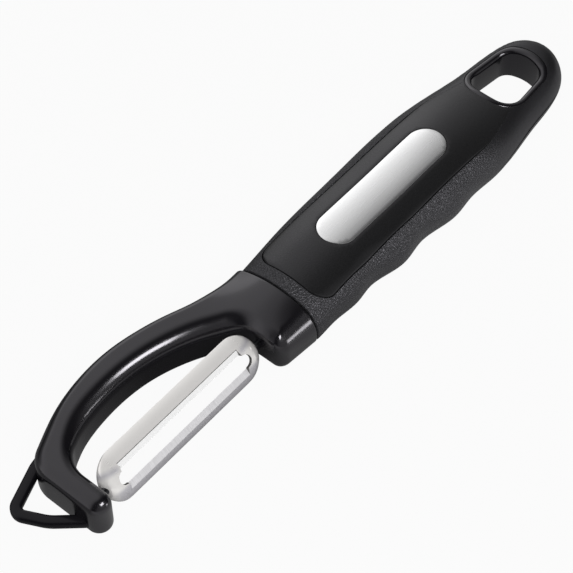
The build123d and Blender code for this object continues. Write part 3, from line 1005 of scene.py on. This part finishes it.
# One finish, all read from object coordinates
class Finish(Nodes):
    def __init__(self, name, metallic=0.0, specular=0.5, tint=(1, 1, 1)):
        self.material = bpy.data.materials.new(name)
        self.material.use_nodes = True
        super().__init__(self.material.node_tree)
        self.shader = self.tree.nodes["Principled BSDF"]
        self.plain("Metallic", metallic)
        self.plain("Specular IOR Level", specular)
        self.plain("Specular Tint", (*tint, 1))
        self.normal = None

    # A value that is the same all over
    def plain(self, name, value):
        self.shader.inputs[name].default_value = value

    # Noise in object space, in millimetres per cell, the same or not along the three axes
    def noise(self, cell, detail=2.0, rough=0.5):
        mapping, texture = self.node("ShaderNodeMapping"), self.node("ShaderNodeTexNoise")
        mapping.inputs["Scale"].default_value = [1 / (c * mm) for c in np.broadcast_to(cell, 3)]
        texture.inputs["Scale"].default_value = 1.0
        texture.inputs["Detail"].default_value = detail
        texture.inputs["Roughness"].default_value = rough
        self.link(self.place, mapping.inputs["Vector"])
        self.link(mapping.outputs[0], texture.inputs["Vector"])
        return texture.outputs["Fac"]

    # The middle of a noise's range, spread between two values
    def spread(self, noise, outLow, outHigh):
        return self.ramp(noise, *finishSet["noiseRange"], outLow, outHigh)

    # From one value to another along the handle, where its grain changes
    def toButt(self, atNeck, atButt):
        return self.ramp(self.axis("X"), *(x * mm for x in finishSet["grainFade"]), atNeck, atButt)

    def blendColour(self, share, low, high):
        mix = self.node("ShaderNodeMix", data_type="RGBA")
        mix.inputs["A"].default_value = (*low, 1)
        mix.inputs["B"].default_value = (*high, 1)
        self.link(share, mix.inputs["Factor"])
        self.link(mix.outputs["Result"], self.shader.inputs["Base Color"])

    def rough(self, value):
        self.link(value, self.shader.inputs["Roughness"])

    def bump(self, height, distance, strength=1.0):
        made = self.node("ShaderNodeBump")
        made.inputs["Distance"].default_value = distance * mm
        made.inputs["Strength"].default_value = strength
        self.link(height, made.inputs["Height"])
        if self.normal is not None:
            self.link(self.normal, made.inputs["Normal"])
        self.normal = made.outputs[0]
        self.link(self.normal, self.shader.inputs["Normal"])


# Colours are linear, noise cells and heights in millimetres
finishSet = {
    "noiseRange": (0.3, 0.7), "grainFade": (2.0, 22.0),
    "gloss": {"tint": (0.97, 0.945, 1.0), "clouds": 9.0,
              "colours": ((0.0035, 0.0032, 0.0042), (0.0048, 0.0044, 0.0058)),
              "fine": 1.5, "roughness": (0.165, 0.185), "waves": 3.5, "waveHeight": 0.006},
    "panel": {"specular": 0.42, "tint": (0.96, 0.94, 1.0), "clouds": 0.5,
              "colours": ((0.008, 0.008, 0.0084), (0.014, 0.014, 0.0146)),
              "fine": 0.4, "roughness": (0.26, 0.33), "buttRougher": 0.1,
              "waves": 0.45, "waveHeight": 0.02},
    "rubber": {"specular": 0.46, "tint": (0.94, 0.92, 1.0), "clouds": 0.6,
               "colours": ((0.006, 0.006, 0.0066), (0.03, 0.03, 0.032)),
               "fine": 0.3, "roughness": (0.36, 0.43), "neckRougher": 0.07, "buttGrain": 0.04,
               "cells": 0.7, "cellEdge": 0.25, "cellHeight": 0.1, "cellStrength": 0.9,
               "waves": 0.4, "waveHeight": 0.06},
    "brushed": {"clouds": 14.0, "shade": 0.96, "uneven": 0.04, "lineHeight": 0.0012},
    "ground": {"range": (0.35, 0.65), "uneven": 0.06, "lineHeight": 0.004},
    "marks": ((0.14, 2.5, 2.5), 4, 0.6),  # cells, detail and roughness of the grinder's marks
    "film": {"roughness": 0.5, "waves": 0.8, "waveHeight": 0.01},
}


def glossBlack(name, specular):
    s = finishSet["gloss"]
    f = Finish(name, specular=specular, tint=s["tint"])
    f.blendColour(f.noise(s["clouds"]), *s["colours"])
    f.rough(f.spread(f.noise(s["fine"], 4), *s["roughness"]))
    f.bump(f.noise(s["waves"], 3), s["waveHeight"])
    return f.material


def panelBlack():
    s = finishSet["panel"]
    f = Finish("panelBlack", specular=s["specular"], tint=s["tint"])
    f.blendColour(f.noise(s["clouds"], 3), *s["colours"])
    fine = f.spread(f.noise(s["fine"], 4), *s["roughness"])
    f.rough(f.math("ADD", fine, f.toButt(0.0, s["buttRougher"])))
    f.bump(f.noise(s["waves"], 3), s["waveHeight"])
    return f.material


# Soft rubber, with a leather-like grain that fades out towards the butt
def gripRubber():
    s = finishSet["rubber"]
    f = Finish("gripRubber", specular=s["specular"], tint=s["tint"])
    cells = f.node("ShaderNodeTexVoronoi", feature="DISTANCE_TO_EDGE")
    cells.inputs["Scale"].default_value = 1 / (s["cells"] * mm)
    f.link(f.place, cells.inputs["Vector"])
    grain = f.ramp(cells.outputs["Distance"], 0.0, s["cellEdge"], 0.0, 1.0)
    share = f.toButt(1.0, s["buttGrain"])
    fine = f.spread(f.noise(s["fine"], 4), *s["roughness"])
    f.rough(f.math("ADD", fine, f.math("MULTIPLY", share, s["neckRougher"])))
    f.blendColour(f.math("MULTIPLY", share, f.noise(s["clouds"], 3)), *s["colours"])
    f.bump(f.math("MULTIPLY", grain, share), s["cellHeight"], s["cellStrength"])
    f.bump(f.math("MULTIPLY", f.noise(s["waves"], 3), share), s["waveHeight"])
    return f.material


# Steel with fine lines along x
def brushedSteel(name, colour, roughness, along, cross):
    s = finishSet["brushed"]
    f = Finish(name, metallic=1.0)
    f.blendColour(f.noise(s["clouds"]), [c * s["shade"] for c in colour], colour)
    lines = f.noise((along, cross, cross), 3)
    f.rough(f.spread(lines, roughness - s["uneven"], roughness + s["uneven"]))
    f.bump(lines, s["lineHeight"])
    return f.material


# Steel ground across its length at the slot's edges, with fine uneven marks
def groundSteel(name, colour, roughness, metallic, depth):
    s = finishSet["ground"]
    f = Finish(name, metallic=metallic)
    marks = f.noise(*finishSet["marks"])
    f.blendColour(f.ramp(marks, *s["range"], 0.0, 1.0), [c * (1 - depth) for c in colour], colour)
    f.rough(f.spread(marks, roughness - s["uneven"], roughness + s["uneven"]))
    f.bump(marks, s["lineHeight"])
    return f.material


def plainFilm(name, colour):
    s = finishSet["film"]
    f = Finish(name)
    f.plain("Base Color", (*colour, 1))
    f.plain("Roughness", s["roughness"])
    f.bump(f.noise(s["waves"]), s["waveHeight"])
    return f.material


# Distances in millimetres across the blade from its middle, or along it past the bevels
sheetSteelSet = {
    # the sheet's own colour, and the purple-grey of its painted shade
    "metallic": 0.45, "colours": ((0.96, 0.94, 0.92), (0.57, 0.56, 0.61)),
    "satin": ((5.0, 0.06, 0.06), 3), "satinHeight": 0.0006, "roughness": (0.38, 0.46),
    "ends": (-1.0, 3.0), "endsRoughness": 0.4,  # beside the middle's
    "groundSide": (-1.4, -2.4), "groundEnds": (2.5, 5.0), "groundPaintedShade": (1.0, 0.55),
    "marksHeight": 0.005,
    # painted shade: a soft dark band from the slot's corners to the rim, where the arch turns into
    # its domed ends
    "endShadeSlope": 0.15, "endShadePlace": 2.6, "endShadeWidth": 1.1, "endShadeDepth": 0.8,
    "endShadeStart": (-0.4, 1.0),
}


# The blade's sheet: satin along its length, ground across it on the side below the slot, with
# painted shade that darkens that side towards purple-grey and a painted dark band at each end
def sheetSteel():
    s = sheetSteelSet
    f = Finish("bladeSteel", metallic=s["metallic"])
    apart = f.node("ShaderNodeVectorMath", operation="DOT_PRODUCT")
    apart.inputs[1].default_value = bladeAcross.tolist()
    f.link(f.place, apart.inputs[0])
    across = apart.outputs["Value"]
    middle = float(bladeAcross @ bladeSet["pivot"]) * mm
    fromMiddle = f.math("SUBTRACT", f.axis("X"), bladeSet["pivot"][0] * mm)
    reach = f.math("ABSOLUTE", fromMiddle)
    half = bladeSet["bevelLength"] / 2 * mm
    below = f.ramp(across, *(middle + y * mm for y in s["groundSide"]), 0.0, 1.0)
    within = f.ramp(reach, *(half + x * mm for x in s["groundEnds"]), 1.0, 0.0)
    ground = f.math("MULTIPLY", below, within)
    # painted shade: a dark band across the sheet where each end turns into its dome
    past = f.math("SUBTRACT", reach, half)
    line = f.math("ADD", f.math("MULTIPLY", past, s["endShadeSlope"]), middle + s["endShadePlace"] * mm)
    away = f.math("ABSOLUTE", f.math("SUBTRACT", across, line))
    endShade = f.math("MULTIPLY", f.ramp(away, 0.0, s["endShadeWidth"] * mm, s["endShadeDepth"], 0.0),
                  f.ramp(past, *(x * mm for x in s["endShadeStart"]), 0.0, 1.0))
    satin, marks = f.noise(*s["satin"]), f.noise(*finishSet["marks"])
    # painted shade: the ground side is darkened towards the purple-grey, by an amount that varies
    # with the grinder's marks
    shade = f.math("MULTIPLY", ground, f.spread(marks, *s["groundPaintedShade"]))
    f.blendColour(f.math("MAXIMUM", shade, endShade), *s["colours"])
    ends = f.ramp(reach, *(half + x * mm for x in s["ends"]), 1.0, s["endsRoughness"])
    f.rough(f.math("MULTIPLY", ends, f.spread(satin, *s["roughness"])))
    f.bump(satin, s["satinHeight"])
    f.bump(f.math("MULTIPLY", marks, ground), s["marksHeight"])
    return f.material


black = glossBlack("glossBlack", 0.72)
strapBlack = glossBlack("strapBlack", 0.22)
panelMatte = panelBlack()
rubber = gripRubber()
inlaySteel = brushedSteel("inlaySteel", (0.87, 0.87, 0.875), 0.3, 6.0, 0.1)
bladeSteel = sheetSteel()
# painted highlight: the bright bevel is plain white non-metal paint, in place of steel's reflection
paintedHighlightEdge = groundSteel("paintedHighlightEdge", (1.0, 1.0, 1.0), 0.5, 0.0, 0.03)
# painted shade: dark steel for the line along the bright bevel and for the slot's end walls
paintedShadeLine = groundSteel("paintedShadeLine", (0.3, 0.29, 0.28), 0.5, 0.8, 0.3)
crossGround = groundSteel("crossGround", (0.92, 0.91, 0.93), 0.45, 0.3, 0.15)
pinSteel = brushedSteel("pinSteel", (0.06, 0.06, 0.065), 0.35, 2.0, 0.08)
tapeFilm = plainFilm("tapeFilm", (0.3, 0.27, 0.2))
print("materials made")


# Each piece rides on its body, in place of its plain solid

def fit(piece, body, slotName, *nodes):
    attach(piece, body)
    if nodes:
        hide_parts(*nodes)


gap, soften = handleSet["jointGap"], handleSet["jointSoften"]
grip = makeObject("softGrip", buildGrip(), [rubber], cut=(jointX + gap, 1, soften))
fit(grip, "handle", "soft_touch", "soft_grip")
panel = makeObject("smoothPanel", buildPanel(), [panelMatte])
fit(panel, "handle", "core_plastic", "handle_core")
inlay = makeObject("steelInlay", buildInlay(), [inlaySteel])
fit(inlay, "handle", "inlay_steel", "inlay_plate")
liner = makeObject("hangHoleRim", buildLiner(), [black])
fit(liner, "handle", "gloss_plastic", "hang_hole_liner")
head = makeObject("bowHead", buildHead(), [black], cut=(jointX - gap, -1, soften))
fit(head, "handle", "gloss_plastic", "bow_head")
strap = grown("eyeRemoverLoop", sweepTree(), loopPath(),
              {"Width": loopSet["height"] * mm, "Height": loopSet["width"] * mm,
               "Edge round": loopSet["edgeRound"] * mm}, strapBlack, loopSet["crease"])
fit(strap, "handle", "gloss_plastic")
blade = makeObject("slottedBlade", buildBlade(), [bladeSteel, paintedHighlightEdge, crossGround, paintedShadeLine],
                   bladeSet["crease"], place=bladePlace)
fit(blade, "blade", "blade_steel", "blade")

for nodeName, material in (("inlay_tape", tapeFilm), ("front_pivot_pin", pinSteel),
                           ("rear_pivot_pin", pinSteel)):
    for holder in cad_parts[nodeName].material_slots:
        holder.material = material
print("pieces made")


lightSet = {
    "floorSize": 4.0, "floorPaint": 0.42, "floorSeen": 0.94,
    # painted shade: greys that add up to how pale the floor is in reflections, darker near and
    # under the head:
    # axis, two places on it in metres and the grey at each
    "floorShadeInReflections": [("X", -0.115, -0.085, 0.16, 0.0), ("X", -0.055, -0.01, 0.0, 0.22),
                       ("Y", -0.02, -0.004, 0.5, 0.07)],
    "worldFill": 0.35,
    # how pale the studio is in reflections, from its right side, y -1, to its left, y 1
    "sides": [(-1.0, 0.45), (-0.7, 0.3), (-0.45, 0.05), (-0.1, 0.05), (0.04, 0.2), (0.25, 0.62),
              (0.45, 0.9), (0.74, 1.0), (0.88, 0.35), (1.0, 0.05)],
    "buttEnd": (0.45, 0.8, 1.0, 0.6),  # and how that falls off along x
    # name, way from the object, distance, width, height, brightness beside a white of 1,
    # whether it shades, gives gloss or both, and the only pieces it reaches
    "lamps": [("frontBox", (-0.47, -0.42, 0.78), 1.1, 0.75, 0.75, 5.2, "shade", []),
              ("ridgeStrip", (-0.031, -0.67, 0.742), 0.485, 0.22, 0.15, 18.0, "gloss",
               ["bowHead", "eyeRemoverLoop", "hangHoleRim", "softGrip"]),
              ("sideStrip", (0.322, -0.927, 0.168), 0.286, 0.07, 0.05, 9.0, "gloss",
               ["bowHead", "softGrip"]),
              ("backBox", (0.5, 0.78, 0.36), 0.9, 0.6, 0.6, 0.6, "both", [])],
}


# White to the camera, greys with painted shade near the object in reflections, and plain paint that
# keeps the shadow
def makeFloor():
    half = lightSet["floorSize"] / 2
    mesh = bpy.data.meshes.new("floor")
    mesh.from_pydata([(-half, -half, 0), (half, -half, 0), (half, half, 0), (-half, half, 0)], [],
                     [(0, 1, 2, 3)])
    floor = bpy.data.objects.new("floor", mesh)
    scene.collection.objects.link(floor)
    material = bpy.data.materials.new("paleFloor")
    material.use_nodes = True
    material.node_tree.nodes.clear()
    f = Nodes(material.node_tree)
    paint, glow = f.node("ShaderNodeBsdfDiffuse"), f.node("ShaderNodeEmission")
    mix, output = f.node("ShaderNodeMixShader"), f.node("ShaderNodeOutputMaterial")
    paint.inputs["Color"].default_value = (*[lightSet["floorPaint"]] * 3, 1)
    seen, mirrored = f.rays()
    grey = 0.0
    # painted shade: the floor's grey in reflections, lower near the object
    for axis, *ranges in lightSet["floorShadeInReflections"]:
        grey = f.math("ADD", grey, f.ramp(f.axis(axis), *ranges))
    share = f.math("ADD", f.math("MULTIPLY", seen, lightSet["floorSeen"]), mirrored)
    f.link(share, mix.inputs["Fac"])
    f.link(f.math("ADD", seen, f.math("MULTIPLY", mirrored, grey)), glow.inputs["Strength"])
    f.link(paint.outputs[0], mix.inputs[1])
    f.link(glow.outputs[0], mix.inputs[2])
    f.link(mix.outputs[0], output.inputs["Surface"])
    mesh.materials.append(material)


# White to the camera, greys from side to side in reflections, and a plain fill for matt surfaces
def makeWorld():
    world = bpy.data.worlds.new("studio")
    scene.world = world
    world.use_nodes = True
    w = Nodes(world.node_tree, "Generated")
    light = w.tree.nodes["Background"]
    light.inputs["Color"].default_value = (1, 1, 1, 1)
    side = w.node("ShaderNodeValToRGB")
    side.color_ramp.interpolation = "EASE"
    stops = side.color_ramp.elements
    for _ in lightSet["sides"][2:]:
        stops.new(0.5)
    for stop, (way, grey) in zip(stops, lightSet["sides"]):
        stop.position = way * 0.5 + 0.5
        stop.color = (grey, grey, grey, 1)
    across = w.math("ADD", w.math("MULTIPLY", w.axis("Y"), 0.5), 0.5)
    w.link(across, side.inputs["Fac"])
    seen, mirrored = w.rays()
    fill = lightSet["worldFill"]
    plain = w.math("ADD", w.math("MULTIPLY", seen, 1 - fill), fill)
    plain = w.math("MULTIPLY", plain, w.math("SUBTRACT", 1, mirrored))
    shown = w.math("MULTIPLY", side.outputs["Color"], mirrored)
    shown = w.math("MULTIPLY", shown, w.ramp(w.axis("X"), *lightSet["buttEnd"]))
    w.link(w.math("ADD", plain, shown), light.inputs["Strength"])


def makeLamps():
    for name, way, distance, width, height, brightness, use, pieces in lightSet["lamps"]:
        data = bpy.data.lights.new(name, "AREA")
        data.shape, data.size, data.size_y = "RECTANGLE", width, height
        data.energy = brightness * math.pi * width * height
        lamp = bpy.data.objects.new(name, data)
        lamp.location = Vector(way).normalized() * distance
        lamp.rotation_euler = Vector(way).to_track_quat("Z", "Y").to_euler()
        lamp.visible_camera = False
        lamp.visible_glossy = use != "shade"
        lamp.visible_diffuse = use != "gloss"
        if pieces:
            shown = bpy.data.collections.new(name + "Pieces")
            for piece in pieces:
                shown.objects.link(bpy.data.objects[piece])
            lamp.light_linking.receiver_collection = shown
        scene.collection.objects.link(lamp)


makeFloor()
makeWorld()
makeLamps()
print("stage and lamps made")
